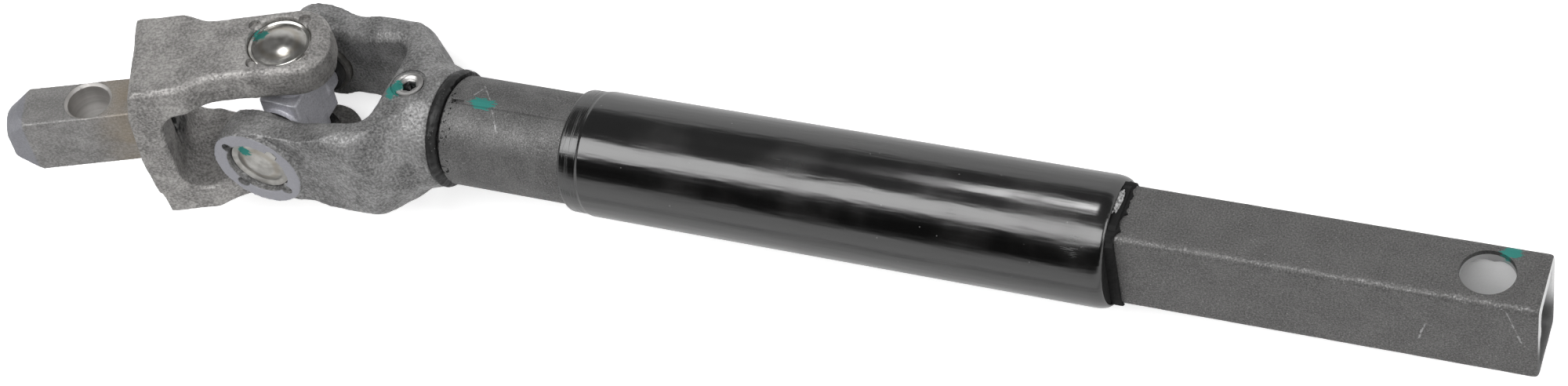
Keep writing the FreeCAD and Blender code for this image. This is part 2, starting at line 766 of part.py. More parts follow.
def isolator_rubber():
    # Rubber that bonds the two tubes to the sleeve, with a collar squeezed out round the
    # socket tube.
    filling = turned("isolator_filling", [
        ("sleeve_crimp_x", "sleeve_crimp_bore"),
        ("sleeve_crimp_x", "sleeve_bore"),
        ("rubber_end_x", "sleeve_bore"),
        ("rubber_end_x", "tube_bore_radius"),
        ("tube_end_x", "tube_bore_radius"),
        ("tube_end_x", "sleeve_crimp_bore"),
    ], ALONG)
    corners = turned("isolator_collar_limit", [
        ("rubber_collar_x", "0"),
        ("rubber_collar_x", "sleeve_bore"),
        ("socket_end_x", "sleeve_bore"),
        ("socket_end_x", "0"),
    ], ALONG)
    collar = rounded_bar("isolator_collar_bar", "rubber_collar_half_width",
                         "rubber_collar_half_height", "rubber_collar_corner",
                         "rubber_collar_end", x="rubber_collar_x")
    whole = joined("isolator_joined", filling, shared("isolator_collar", collar, corners))
    return cut("isolator_rubber", whole,
               rounded_bar("isolator_socket", "socket_half_width", "socket_half_height",
                           "socket_corner", "socket_length", x="socket_start_x"))


def socket_tube():
    # Rectangular tube, open at the far end, with a bolt hole through both wide faces.
    outer = rounded_bar("socket_outer", "socket_half_width", "socket_half_height",
                        "socket_corner", "socket_length", x="socket_start_x")
    hollow = rounded_bar("socket_hollow", "socket_hollow_half_width", "socket_hollow_half_height",
                         "socket_inner_corner", "socket_length", x="socket_start_x")
    tube = cut("socket_drilled", outer, hollow,
               cylinder("socket_bolt_hole", "bolt_hole_radius", "socket_height", OUT,
                        x="bolt_hole_x", z="-socket_half_height"))
    return eased("socket_tube", tube, "socket_edge", is_socket_outer_end)


def is_socket_outer_end(edge):
    reach = edge.BoundBox
    at_end = reach.XLength < 1e-4 and abs(reach.XMax - size("socket_end_x")) < 1e-4
    middle = edge.valueAt((edge.FirstParameter + edge.LastParameter) / 2)
    wide = abs(middle.y) > size("socket_hollow_half_width") + size("socket_wall") / 2
    tall = abs(middle.z) > size("socket_hollow_half_height") + size("socket_wall") / 2
    return at_end and (wide or tall)


# The four arms of the cross: the name of each and its turn about the shaft's X axis from
# straight up. The upright pair runs in the input yoke, the level pair in the output yoke.
ARMS = [("top", 0), ("bottom", 180), ("front", 90), ("rear", -90)]
UPRIGHT = ("top", "bottom")

LEAN = Placement(Vector(), Rotation(ASIDE, size("lean_deg")))
SWING = Placement(Vector(), Rotation(OUT, size("swing_deg")))
STRAIGHT = Placement()
BENT = LEAN.multiply(SWING)

parts = []


def add(feature, label, bend, own=Placement()):
    feature.Label = label
    parts.append((feature, label, bend.multiply(own)))


add(output_yoke(), "output_yoke", STRAIGHT)
add(round_tube(), "round_tube", STRAIGHT)
add(sealant_ring(), "sealant_ring", STRAIGHT)
add(locking_screw(), "locking_screw", STRAIGHT)
add(outer_sleeve(), "outer_sleeve", STRAIGHT)
add(isolator_rubber(), "isolator_rubber", STRAIGHT)
add(socket_tube(), "socket_tube", STRAIGHT)
add(cross(), "cross", LEAN)
add(input_yoke(), "input_yoke", BENT)
add(stub_bar(), "input_stub", BENT)
for arm_name, arm_turn in ARMS:
    on_arm = Placement(Vector(), Rotation(ALONG, arm_turn))
    yoke_bend = BENT if arm_name in UPRIGHT else STRAIGHT
    add(bearing_cup(arm_name), "cup_" + arm_name, yoke_bend, on_arm)
    add(needle_rollers(arm_name), "needles_" + arm_name, yoke_bend, on_arm)
    add(trunnion_seal(arm_name), "seal_" + arm_name, LEAN, on_arm)


def lowest(label, down):
    # The point of one piece that lies furthest down, with the joint bent.
    feature, bend = next((f, own_bend) for f, name, own_bend in parts if name == label)
    points = [bend.multVec(point) for point in feature.Shape.tessellate(FOOT_DEFLECTION)[0]]
    return max(points, key=down.dot)


FOOT_DEFLECTION = 0.02


def ground_normal():
    # The shaft lies on three feet: a corner of the socket's open end, the output yoke's
    # shoulder and the rim of the input yoke's lower ear. Which points of them touch
    # depends on the ground's own tilt, so they are found in a few rounds.
    normal = Vector(0, -1, 1).normalize()
    for _ in range(12):
        socket, shoulder, ear = [lowest(label, -normal)
                                 for label in ("socket_tube", "output_yoke", "input_yoke")]
        normal = (shoulder - socket).cross(ear - socket).normalize()
        if normal.z < 0:
            normal = -normal
    return normal


doc.recompute()
up = ground_normal()
ahead = (ALONG - up * ALONG.dot(up)).normalize()
level = Placement(Vector(), Rotation(ahead, up.cross(ahead), up, "ZXY").inverted())

for feature, label, bend in parts:
    feature.Placement = level.multiply(bend)
doc.recompute()
reach = Part.makeCompound([feature.Shape for feature, label, bend in parts]).BoundBox
shift = Vector(-(reach.XMin + reach.XMax) / 2, -(reach.YMin + reach.YMax) / 2, -reach.ZMin)
ground = Placement(shift, Rotation()).multiply(level)
for feature, label, bend in parts:
    feature.Placement = ground.multiply(bend)
doc.recompute()

for thing in doc.Objects:
    if "Invalid" in thing.State or "Error" in thing.State:
        raise RuntimeError("%s did not build" % thing.Label)
os.makedirs("parts", exist_ok=True)
for feature, label, bend in parts:
    if feature.Shape.isNull() or not feature.Shape.isValid():
        raise RuntimeError("%s is not a valid solid" % label)
for feature, label, bend in parts:
    feature.Shape.exportStep("parts/%s.step" % label)
    print(label, len(feature.Shape.Solids), round(feature.Shape.Volume, 1))
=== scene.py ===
import json
import math

import bmesh
import bpy
from mathutils import Matrix, Vector, noise


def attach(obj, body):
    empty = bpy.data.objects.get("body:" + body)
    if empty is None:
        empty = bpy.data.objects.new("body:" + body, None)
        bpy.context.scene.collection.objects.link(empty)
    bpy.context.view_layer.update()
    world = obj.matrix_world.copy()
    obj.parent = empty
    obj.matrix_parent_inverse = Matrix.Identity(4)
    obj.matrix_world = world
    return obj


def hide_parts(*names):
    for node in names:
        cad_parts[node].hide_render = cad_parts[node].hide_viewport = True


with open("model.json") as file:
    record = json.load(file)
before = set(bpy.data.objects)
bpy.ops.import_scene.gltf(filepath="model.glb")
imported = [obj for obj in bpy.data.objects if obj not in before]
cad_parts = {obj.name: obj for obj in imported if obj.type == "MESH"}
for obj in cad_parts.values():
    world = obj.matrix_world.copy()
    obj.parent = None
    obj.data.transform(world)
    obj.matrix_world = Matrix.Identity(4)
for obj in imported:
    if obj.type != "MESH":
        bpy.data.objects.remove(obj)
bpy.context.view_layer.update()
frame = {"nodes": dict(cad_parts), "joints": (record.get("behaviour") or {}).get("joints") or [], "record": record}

# The output yoke is a steel drop forging: two ears beside the cross and a saddle on the
# shaft. Its edges are soft and its skin is grainy, and only the bores, the ear faces and
# the seat of the locking screw are machined afterwards.
MM = 0.001
joint_axes = {joint["name"]: Vector(joint["axis"]) for joint in frame["joints"]}
mount_axes = {mount["name"]: Vector(mount["axis"]) for mount in frame["record"]["mounts"]}
pivot = Vector(frame["joints"][0]["pos_m"])


def own_frame(ahead, up):
    # Millimetres in a part's own frame, from the middle of the cross, to the row's metres.
    turn = Matrix((ahead, up.cross(ahead), up)).transposed().to_4x4()
    return Matrix.Translation(pivot) @ turn @ Matrix.Scale(MM, 4)


shaft = own_frame(mount_axes["socket"], mount_axes["socket"].cross(joint_axes["cross_pivot"]))
ALONG_X = Matrix.Rotation(math.radians(90), 4, "Y")


def new_piece(name, mesh):
    piece = bpy.data.objects.new(name, mesh)
    bpy.context.scene.collection.objects.link(piece)
    return piece


def settle(piece):
    # Keeps what the piece's modifiers make as its plain mesh.
    bpy.context.view_layer.update()
    graph = bpy.context.evaluated_depsgraph_get()
    mesh = bpy.data.meshes.new_from_object(piece.evaluated_get(graph))
    piece.modifiers.clear()
    piece.data = mesh
    return piece


def merged_copy(name, node):
    mesh = frame["nodes"][node].data.copy()
    mesh.materials.clear()
    work = bmesh.new()
    work.from_mesh(mesh)
    bmesh.ops.remove_doubles(work, verts=work.verts, dist=1e-6)
    work.to_mesh(mesh)
    work.free()
    return new_piece(name, mesh)


def forged(name, node, voxel, passes, depth, fillings=()):
    # The solid's form with its edges rubbed soft and its skin left uneven. A filling closes
    # a hole that is cut again later, so that its rim stays crisp.
    piece = merged_copy(name, node)
    machined(piece, fillings, "UNION")
    skin = piece.modifiers.new("skin", "REMESH")
    skin.mode = "VOXEL"
    skin.voxel_size = voxel * MM
    soft = piece.modifiers.new("soft edges", "SMOOTH")
    soft.factor = 0.5
    soft.iterations = passes
    settle(piece)
    normals = [vertex.normal.copy() for vertex in piece.data.vertices]
    for vertex, normal in zip(piece.data.vertices, normals):
        place = vertex.co / MM
        wave = noise.noise(place * 0.22) + 0.35 * noise.noise(place * 0.9)
        vertex.co += normal * wave * depth * MM
    return piece


def turned(name, section, place, sides=96):
    # A closed solid of revolution about the place's Z axis from (along, radius) points.
    work = bmesh.new()
    rings = []
    for side in range(sides):
        angle = 2 * math.pi * side / sides
        rings.append([work.verts.new((radius * math.cos(angle), radius * math.sin(angle), along))
                      for along, radius in section])
    for side, ring in enumerate(rings):
        following = rings[(side + 1) % sides]
        for here in range(len(section)):
            there = (here + 1) % len(section)
            work.faces.new((ring[here], following[here], following[there], ring[there]))
    bmesh.ops.remove_doubles(work, verts=work.verts, dist=1e-5)
    bmesh.ops.dissolve_degenerate(work, edges=work.edges, dist=1e-6)
    bmesh.ops.recalc_face_normals(work, faces=work.faces)
    mesh = bpy.data.meshes.new(name)
    work.to_mesh(mesh)
    work.free()
    mesh.transform(place)
    return new_piece(name, mesh)


def rod(radius, start, end):
    return [(start, 0), (start, radius), (end, radius), (end, 0)]


def machined(piece, cutters, operation="DIFFERENCE"):
    for number, cutter in enumerate(cutters):
        cut = piece.modifiers.new("cut %d" % number, "BOOLEAN")
        cut.operation = operation
        cut.solver = "MANIFOLD"
        cut.object = cutter
    settle(piece)
    for cutter in cutters:
        bpy.data.objects.remove(cutter)
    return piece


def finish(piece, material, sharp_deg=32):
    piece.data.materials.clear()
    piece.data.materials.append(material)
    for face in piece.data.polygons:
        face.use_smooth = True
        face.material_index = 0
    piece.data.set_sharp_from_angle(angle=math.radians(sharp_deg))
    return piece


def put(tree, kind, inputs=None, **settings):
    # Adds a shader node; an input is given as a number, a colour or another node's output.
    made = tree.nodes.new("ShaderNode" + kind)
    for name, value in settings.items():
        setattr(made, name, value)
    for key, value in (inputs or {}).items():
        if isinstance(value, bpy.types.NodeSocket):
            tree.links.new(value, made.inputs[key])
        else:
            made.inputs[key].default_value = value
    return made


def maths(tree, operation, first, second=0.0):
    return put(tree, "Math", {0: first, 1: second}, operation=operation).outputs[0]


def times(tree, first, second):
    return maths(tree, "MULTIPLY", first, second)


def inverse(tree, share):
    return maths(tree, "SUBTRACT", 1.0, share)


def vectors(tree, operation, first, second=(0, 0, 0)):
    # The outputs: a vector, and a number where the operation is a length or a product.
    return put(tree, "VectorMath", {0: first, 1: second}, operation=operation).outputs


def from_axis(tree, x, y, centre=(0, 0, 0)):
    # How far a point lies from an upright line through the centre.
    return vectors(tree, "DISTANCE", put(tree, "CombineXYZ", {0: x, 1: y}).outputs[0], centre)["Value"]


def fade(tree, value, low, high):
    return put(tree, "MapRange", {"Value": value, "From Min": low, "From Max": high},
               interpolation_type="SMOOTHSTEP").outputs["Result"]


def spread(tree, value, first, last):
    return put(tree, "MapRange", {"Value": value, "To Min": first, "To Max": last}).outputs["Result"]


def cloud(tree, place, scale, detail=2.0):
    return put(tree, "TexNoise", {"Vector": place, "Scale": scale, "Detail": detail}).outputs[0]


def streaks(tree, place, stretch, detail=2.0):
    return cloud(tree, vectors(tree, "MULTIPLY", place, stretch)[0], 1.0, detail)


def tint(tree, share, first, second):
    return put(tree, "Mix", {0: share, 6: first, 7: second}, data_type="RGBA").outputs[2]


def grey(level, warmth=0.0):
    return (level * (1 + warmth), level, level * (1 - warmth), 1)


def shader_group(name, inputs, outputs):
    tree = bpy.data.node_groups.new(name, "ShaderNodeTree")
    for label, kind in inputs:
        tree.interface.new_socket(label, in_out="INPUT", socket_type="NodeSocket" + kind)
    for label, kind in outputs:
        tree.interface.new_socket(label, in_out="OUTPUT", socket_type="NodeSocket" + kind)
    return tree, tree.nodes.new("NodeGroupInput").outputs, tree.nodes.new("NodeGroupOutput").inputs


def use_group(tree, group, inputs):
    made = tree.nodes.new("ShaderNodeGroup")
    made.node_tree = group
    for key, value in inputs.items():
        if isinstance(value, bpy.types.NodeSocket):
            tree.links.new(value, made.inputs[key])
        else:
            made.inputs[key].default_value = value
    return made.outputs


def grainy_skin_group():
    # Scale-blasted steel: slow blotches, fine grains, a few bright flecks of painted glint and dark pits.
    tree, given, result = shader_group(
        "grainy skin",
        [("Place", "Vector"), ("Grain", "Float"), ("Blotch", "Float"), ("Dark", "Color"),
         ("Light", "Color")],
        [("Color", "Color"), ("Rough", "Float"), ("Height", "Float")])
    fine = put(tree, "TexNoise", {"Vector": given["Place"], "Scale": given["Grain"], "Detail": 3.0})
    blotch = cloud(tree, given["Place"], 0.16, 3.0)
    pits = put(tree, "TexVoronoi", {"Vector": given["Place"], "Scale": 0.75, "Randomness": 1.0})
    pit = inverse(tree, fade(tree, pits.outputs["Distance"], 0.05, 0.17))
    grains = fade(tree, fine.outputs[0], 0.28, 0.74)
    # The brightest grains are lightened into flecks, as painted glints.
    painted_glint_flecks = fade(tree, fine.outputs[0], 0.66, 0.78)
    mixed = maths(tree, "ADD", times(tree, grains, 0.55),
                  times(tree, fade(tree, blotch, 0.3, 0.7), given["Blotch"]))
    base = tint(tree, mixed, given["Dark"], given["Light"])
    base = tint(tree, times(tree, painted_glint_flecks, 0.5), base, grey(0.5))
    tree.links.new(tint(tree, times(tree, pit, 0.5), base, grey(0.02)), result["Color"])
    tree.links.new(spread(tree, grains, 0.64, 0.5), result["Rough"])
    tree.links.new(maths(tree, "SUBTRACT", fine.outputs[0], times(tree, pit, 0.4)),
                   result["Height"])
    return tree


def paint_dab_group():
    # A quick dab of marking paint: a ragged patch about a centre, with brush streaks.
    tree, given, result = shader_group(
        "paint dab", [("Place", "Vector"), ("Centre", "Vector"), ("Half Size", "Vector")],
        [("Mask", "Float")])
    offset = vectors(tree, "SUBTRACT", given["Place"], given["Centre"])[0]
    share = vectors(tree, "DIVIDE", offset, given["Half Size"])[0]
    reach = vectors(tree, "LENGTH", share)["Value"]
    streak = streaks(tree, given["Place"], (0.55, 2.42, 2.42), 3.0)
    edge = maths(tree, "ADD", reach, times(tree, streak, 1.5))
    tree.links.new(inverse(tree, fade(tree, edge, 1.5, 1.68)), result["Mask"])
    return tree


def scratch_group():
    # Thin scratches that run mostly one way, broken up by a slow mask.
    tree, given, result = shader_group(
        "scratches", [("Place", "Vector"), ("Stretch", "Vector"), ("Share", "Float")],
        [("Mask", "Float")])
    lines = streaks(tree, given["Place"], given["Stretch"])
    thin = maths(tree, "ABSOLUTE", maths(tree, "SUBTRACT", lines, 0.5))
    line = inverse(tree, fade(tree, thin, 0.004, 0.014))
    where = cloud(tree, given["Place"], 0.12, 3.0)
    allowed = fade(tree, maths(tree, "ADD", where, given["Share"]), 0.6, 0.75)
    tree.links.new(times(tree, line, allowed), result["Mask"])
    return tree


def scored_line_group():
    # One shallow score between two points of a surface, a little wavy and broken. Squeeze
    # flattens the places along the surface's outward axis, so that it follows a curve.
    tree, given, result = shader_group(
        "scored line",
        [("Place", "Vector"), ("Start", "Vector"), ("End", "Vector"), ("Squeeze", "Vector")],
        [("Mask", "Float")])
    place, start, end = (vectors(tree, "MULTIPLY", given[name], given["Squeeze"])[0]
                         for name in ("Place", "Start", "End"))
    run = vectors(tree, "SUBTRACT", end, start)[0]
    offset = vectors(tree, "SUBTRACT", place, start)[0]
    share = put(tree, "Math", {0: vectors(tree, "DOT_PRODUCT", offset, run)["Value"],
                               1: vectors(tree, "DOT_PRODUCT", run, run)["Value"]},
                operation="DIVIDE", use_clamp=True).outputs[0]
    nearest = put(tree, "VectorMath", {0: run, "Scale": share}, operation="SCALE").outputs[0]
    gap = vectors(tree, "DISTANCE", offset, nearest)["Value"]
    drift = maths(tree, "SUBTRACT", cloud(tree, given["Place"], 0.9, 3.0), 0.5)
    wavy_gap = maths(tree, "ADD", gap, times(tree, drift, 0.9))
    line = inverse(tree, fade(tree, wavy_gap, 0.06, 0.22))
    broken = fade(tree, cloud(tree, given["Place"], 1.7, 2.0), 0.38, 0.55)
    tree.links.new(times(tree, line, broken), result["Mask"])
    return tree


grainy_skin = grainy_skin_group()
paint_dab = paint_dab_group()
scratches = scratch_group()
scored_line = scored_line_group()
TEAL = (0.045, 0.27, 0.235, 1)


def new_material(name, place):
    # The material's tree, the surface point in millimetres in its part's own frame, and a
    # function that closes the material off with its colour, roughness and relief.
    material = bpy.data.materials.new(name)
    material.use_nodes = True
    tree = material.node_tree
    tree.nodes.clear()
    location, turn, scale = place.decompose()
    point = put(tree, "Mapping", {
        "Vector": put(tree, "TexCoord").outputs["Object"], "Location": location,
        "Rotation": turn.to_euler(), "Scale": scale}, vector_type="TEXTURE").outputs[0]

    def close(colour, rough, height, relief_mm, **sockets):
        relief = put(tree, "Bump", {"Height": height, "Strength": 1.0, "Distance": relief_mm * MM})
        inputs = {"Base Color": colour, "Roughness": rough, "Normal": relief.outputs[0]}
        inputs.update({key.replace("_", " "): value for key, value in sockets.items()})
        shader = put(tree, "BsdfPrincipled", inputs)
        tree.links.new(shader.outputs[0], put(tree, "OutputMaterial").inputs[0])
        return material

    return tree, point, close


def parts_of(tree, point):
    split = put(tree, "SeparateXYZ", {0: point})
    return split.outputs[0], split.outputs[1], split.outputs[2]


def grainy(tree, point, grain, blotch, dark, light):
    return use_group(tree, grainy_skin, {"Place": point, "Grain": grain, "Blotch": blotch,
                                         "Dark": dark, "Light": light})


def dabbed(tree, colour, rough, point, centre, half_size):
    # Lays a dab of teal inspection paint over a colour and its roughness.
    mask = use_group(tree, paint_dab, {"Place": point, "Centre": centre, "Half Size": half_size})[0]
    return tint(tree, mask, colour, TEAL), maths(tree, "MAXIMUM", rough, times(tree, mask, 0.55))


def scored(tree, colour, point, squeeze, marks, bright):
    # Bare metal along each of the marks, given as the points that it runs through.
    for stops in marks:
        for start, end in zip(stops, stops[1:]):
            mask = use_group(tree, scored_line, {"Place": point, "Start": start, "End": end,
                                                 "Squeeze": squeeze})[0]
            colour = tint(tree, mask, colour, bright)
    return colour


EAR_FACE = 22.9
EAR_FACING_RADIUS = 14
CUP_BORE = 8.0
THROUGH = 30
STAKE_RADIUS = 8.7
STAKE_PUNCH = 1.6
STAKE_DEPTH = 1.2
STAKE_ANGLES = (45, 135, 225, 315)
SCREW_BORE = 3.75
SCREW_SEAT_RADIUS = 4.5
SCREW_SEAT_FLOOR = 13.75
SADDLE_TOP = 20
SADDLE_DAB = ((33.2, -2.6, 14.2), (2.0, 3.4, 3.0))
screw_line = shaft @ Matrix.Translation((35.8, 0, 0))


def tilted(place, degrees):
    return place @ Matrix.Rotation(math.radians(degrees), 4, "X")


def output_yoke_steel():
    tree, point, close = new_material("output yoke steel", shaft)
    skin = grainy(tree, point, 1.7, 0.4, grey(0.1, 0.005), grey(0.42, 0.005))
    x, y, z = parts_of(tree, point)
    faced = fade(tree, maths(tree, "ABSOLUTE", y), EAR_FACE - 0.2, EAR_FACE - 0.1)
    colour = tint(tree, faced, skin["Color"], (0.36, 0.36, 0.39, 1))
    colour, rough = dabbed(tree, colour, skin["Rough"], point, *SADDLE_DAB)
    height = times(tree, skin["Height"], inverse(tree, faced))
    return close(colour, rough, height, 0.17, Metallic=0.75)


def stake_punches(face, place):
    # Four rod ends that press half-round dents into the rim of a cup's bore.
    return [turned("punch %d" % angle, rod(STAKE_PUNCH, face - STAKE_DEPTH, face + 3),
                   place @ Matrix.Rotation(math.radians(angle), 4, "Z")
                   @ Matrix.Translation((STAKE_RADIUS, 0, 0)), 32) for angle in STAKE_ANGLES]


yoke = forged("output_yoke_forging", "output_yoke", 0.42, 6, 0.18)
cutters = [turned("cups bore", rod(CUP_BORE, -THROUGH, THROUGH), tilted(shaft, 90)),
           turned("screw bore", rod(SCREW_BORE, 5, SADDLE_TOP), screw_line),
           turned("screw seat", rod(SCREW_SEAT_RADIUS, SCREW_SEAT_FLOOR, SADDLE_TOP), screw_line)]
for turn in (90, -90):
    ear = tilted(shaft, turn)
    cutters.append(turned("ear facing", rod(EAR_FACING_RADIUS, EAR_FACE, THROUGH), ear))
    cutters += stake_punches(EAR_FACE, ear)
machined(yoke, cutters)
finish(yoke, output_yoke_steel())
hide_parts("output_yoke")
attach(yoke, "shaft")

# The input yoke is the same kind of steel forging. Its two ears hold the upright pair of
# cups, and its block is broached for the stub, which is pressed in and staked.
swing = joint_axes["input_pivot"]
input_side = own_frame(-mount_axes["stub_bar"], swing)
EAR_TOP = 22.37


def input_yoke_steel():
    tree, point, close = new_material("input yoke steel", input_side)
    skin = grainy(tree, point, 1.6, 0.4, grey(0.15, 0.03), grey(0.52, 0.03))
    return close(skin["Color"], skin["Rough"], skin["Height"], 0.17, Metallic=0.75)


yoke = forged("input_yoke_forging", "input_yoke", 0.42, 7, 0.18)
cutters = [turned("cups bore", rod(CUP_BORE, -THROUGH, THROUGH), input_side)]
for turn in (0, 180):
    cutters += stake_punches(EAR_TOP, tilted(input_side, turn))
machined(yoke, cutters)
finish(yoke, input_yoke_steel())
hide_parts("input_yoke")
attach(yoke, "input")

# The four bearing cups are drawn from steel strip and ground outside. Their floors crown
# outwards inside a narrow raised rim, and they are pressed into the yokes' bores.
ARMS = (("top", 0, input_side, "input"), ("bottom", 180, input_side, "input"),
        ("front", 90, shaft, "shaft"), ("rear", -90, shaft, "shaft"))
CUP_RADIUS = 7.99
CUP_MOUTH = 12.2
CUP_FLOOR = 20.1
CUP_SEAT = 21.3
ROLLER_TRACK = 6.95
CUP_CROWNS = {"input": (7.0, 1.75), "shaft": (6.3, 1.15)}
CUP_DULLNESS = {"input": 0.2, "shaft": 0.36}
CUP_DABS = {"top": ((-4.6, 3.3, 21.5), (2.3, 2.1, 2.0)),
            "front": ((-3.2, 4.1, 21.5), (2.4, 1.5, 2.0))}


def cup_section(crown, rise):
    # From the mouth up the wall, over the rim, down its groove and over the crown.
    steps = 14
    dome = [(CUP_SEAT - 0.5 + rise * (1 - (step / steps) ** 2), crown * step / steps)
            for step in range(steps, -1, -1)]
    return [(CUP_MOUTH, ROLLER_TRACK), (CUP_MOUTH, CUP_RADIUS), (CUP_SEAT - 0.5, CUP_RADIUS),
            (CUP_SEAT - 0.15, CUP_RADIUS - 0.12), (CUP_SEAT, CUP_RADIUS - 0.4),
            (CUP_SEAT - 0.1, CUP_RADIUS - 0.65), (CUP_SEAT - 0.45, crown + 0.15)] + dome + [
                (CUP_FLOOR, 0), (CUP_FLOOR, ROLLER_TRACK)]


def cup_steel(name, place, dull, dab):
    # Turning rings, a brown ring of drawing oil and, on two cups, a dab of paint.
    tree, point, close = new_material("cup steel " + name, place)
    x, y, z = parts_of(tree, point)
    reach = from_axis(tree, x, y)
    rings = cloud(tree, put(tree, "CombineXYZ", {0: reach}).outputs[0], 2.0, 2.0)
    from_stain = maths(tree, "ABSOLUTE", maths(tree, "SUBTRACT", reach, 4.6))
    stain = inverse(tree, fade(tree, from_stain, 0.2, 1.1))
    smudge = cloud(tree, point, 0.35, 3.0)
    colour = tint(tree, fade(tree, smudge, 0.3, 0.7), (0.34, 0.33, 0.31, 1), (0.54, 0.53, 0.505, 1))
    colour = tint(tree, times(tree, stain, 0.45), colour, (0.3, 0.26, 0.2, 1))
    rough = spread(tree, smudge, dull - 0.06, dull + 0.06)
    if dab:
        colour, rough = dabbed(tree, colour, rough, point, *dab)
    return close(colour, rough, rings, 0.015, Metallic=0.95)


for arm, turn, side, body in ARMS:
    place = tilted(side, turn)
    cup = turned("cup_%s_drawn" % arm, cup_section(*CUP_CROWNS[body]), place)
    finish(cup, cup_steel(arm, place, CUP_DULLNESS[body], CUP_DABS.get(arm)), 50)
    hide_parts("cup_" + arm)
    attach(cup, body)

# Each cup is staked: a punch squeezes four small lips of the yoke's own steel out of their
# dents and over the cup's rim, which stops the cup from creeping out of its bore.
def ring_of_lips():
    tree = bpy.data.node_groups.new("ring of lips", "GeometryNodeTree")
    tree.interface.new_socket("Lip", in_out="INPUT", socket_type="NodeSocketObject")
    tree.interface.new_socket("Material", in_out="INPUT", socket_type="NodeSocketMaterial")
    tree.interface.new_socket("Geometry", in_out="OUTPUT", socket_type="NodeSocketGeometry")
    given = tree.nodes.new("NodeGroupInput").outputs
    ring = tree.nodes.new("GeometryNodeMeshCircle")
    ring.inputs["Vertices"].default_value = len(STAKE_ANGLES)
    ring.inputs["Radius"].default_value = 1.0
    lip = tree.nodes.new("GeometryNodeObjectInfo")
    number = tree.nodes.new("GeometryNodeInputIndex")
    angle = tree.nodes.new("ShaderNodeMath")
    angle.operation = "MULTIPLY_ADD"
    angle.inputs[1].default_value = 2 * math.pi / len(STAKE_ANGLES)
    angle.inputs[2].default_value = math.radians(STAKE_ANGLES[0])
    turn = tree.nodes.new("ShaderNodeCombineXYZ")
    centre = tree.nodes.new("GeometryNodeSetPosition")
    centre.inputs["Position"].default_value = (0, 0, 0)
    copies = tree.nodes.new("GeometryNodeInstanceOnPoints")
    real = tree.nodes.new("GeometryNodeRealizeInstances")
    dressed = tree.nodes.new("GeometryNodeSetMaterial")
    out = tree.nodes.new("NodeGroupOutput")
    for first, second in (
            (given["Lip"], lip.inputs["Object"]), (ring.outputs["Mesh"], centre.inputs["Geometry"]),
            (centre.outputs["Geometry"], copies.inputs["Points"]),
            (lip.outputs["Geometry"], copies.inputs["Instance"]),
            (number.outputs[0], angle.inputs[0]), (angle.outputs[0], turn.inputs["Z"]),
            (turn.outputs[0], copies.inputs["Rotation"]),
            (copies.outputs[0], real.inputs[0]), (real.outputs[0], dressed.inputs["Geometry"]),
            (given["Material"], dressed.inputs["Material"]),
            (dressed.outputs[0], out.inputs["Geometry"])):
        tree.links.new(first, second)
    return tree


def lip_form(face):
    # One lip: the squeezed-out metal slopes from the dent's floor onto the cup's rim.
    work = bmesh.new()
    bmesh.ops.create_uvsphere(work, u_segments=20, v_segments=12, radius=1.0)
    for vertex in work.verts:
        x, y, z = vertex.co
        lean = 0.35 * max(0.0, -x)
        vertex.co = (STAKE_RADIUS - 0.75 + 1.1 * x, 1.3 * y, face - 1.25 + 0.45 * z - lean)
    mesh = bpy.data.meshes.new("lip")
    work.to_mesh(mesh)
    work.free()
    return new_piece("lip", mesh)


lip_tree = ring_of_lips()


def staked(arm, face, place, body, material):
    lip = lip_form(face)
    ring = new_piece("stakes_" + arm, bpy.data.meshes.new("stakes"))
    spread_lips = ring.modifiers.new("ring", "NODES")
    spread_lips.node_group = lip_tree
    sockets = {item.name: item.identifier for item in lip_tree.interface.items_tree}
    spread_lips[sockets["Lip"]] = lip
    spread_lips[sockets["Material"]] = material
    settle(ring)
    bpy.data.objects.remove(lip)
    ring.data.transform(place)
    finish(ring, material, 80)
    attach(ring, body)


for arm, turn, side, body in ARMS:
    face, steel = (EAR_TOP, "input yoke steel") if body == "input" else (EAR_FACE, "output yoke steel")
    staked(arm, face, tilted(side, turn), body, bpy.data.materials[steel])

# The cross is a small steel forging with a scalloped body. Its four trunnions are ground,
# and it hangs between the two yokes on its needles alone.
spider = own_frame(joint_axes["cross_pivot"].cross(swing), swing)


def cross_steel():
    tree, point, close = new_material("cross steel", spider)
    skin = grainy(tree, point, 2.2, 0.2, (0.5, 0.5, 0.54, 1), (0.75, 0.75, 0.8, 1))
    return close(skin["Color"], skin["Rough"], skin["Height"], 0.06, Metallic=0.6)


star = forged("cross_forging", "cross", 0.3, 3, 0.03)
finish(star, cross_steel())
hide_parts("cross")
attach(star, "spider")

# A ring of black rubber on each neck of the cross closes its cup's mouth, and the hardened
# steel needles run behind it. The solids of both are right, so they only get a finish.
def seal_rubber():
    tree, point, close = new_material("seal rubber", spider)
    grain = cloud(tree, point, 1.2, 3.0)
    colour = tint(tree, grain, grey(0.008), grey(0.03))
    return close(colour, spread(tree, grain, 0.35, 0.6), grain, 0.05)


def needle_steel():
    tree, point, close = new_material("needle steel", spider)
    grain = cloud(tree, point, 0.8, 2.0)
    return close(tint(tree, grain, grey(0.4), grey(0.6)), spread(tree, grain, 0.15, 0.3), grain, 0.01,
                 Metallic=1.0)


def dress(node, material):
    mesh_object = frame["nodes"][node]
    for slot in mesh_object.material_slots:
        slot.material = material


seal_finish = seal_rubber()
needle_finish = needle_steel()
for arm, turn, side, body in ARMS:
    dress("seal_" + arm, seal_finish)
    dress("needles_" + arm, needle_finish)

# The stub is a flat-sided steel bar with a turned lead-in and a cross hole for the clamp
# bolt. It is pressed into the input yoke, which left it a little browned by heat there,
# and its spigot is peened over in the yoke's pocket.
STUB_HOLE = (-51.06, 0, 0)
STUB_HOLE_RADIUS = 5.31
STUB_HOLE_EASE = 0.75
STUB_HALF_HEIGHT = 8.45
STUB_TURNED_TO = -66.8
STUB_SPIGOT_FROM = -37.0


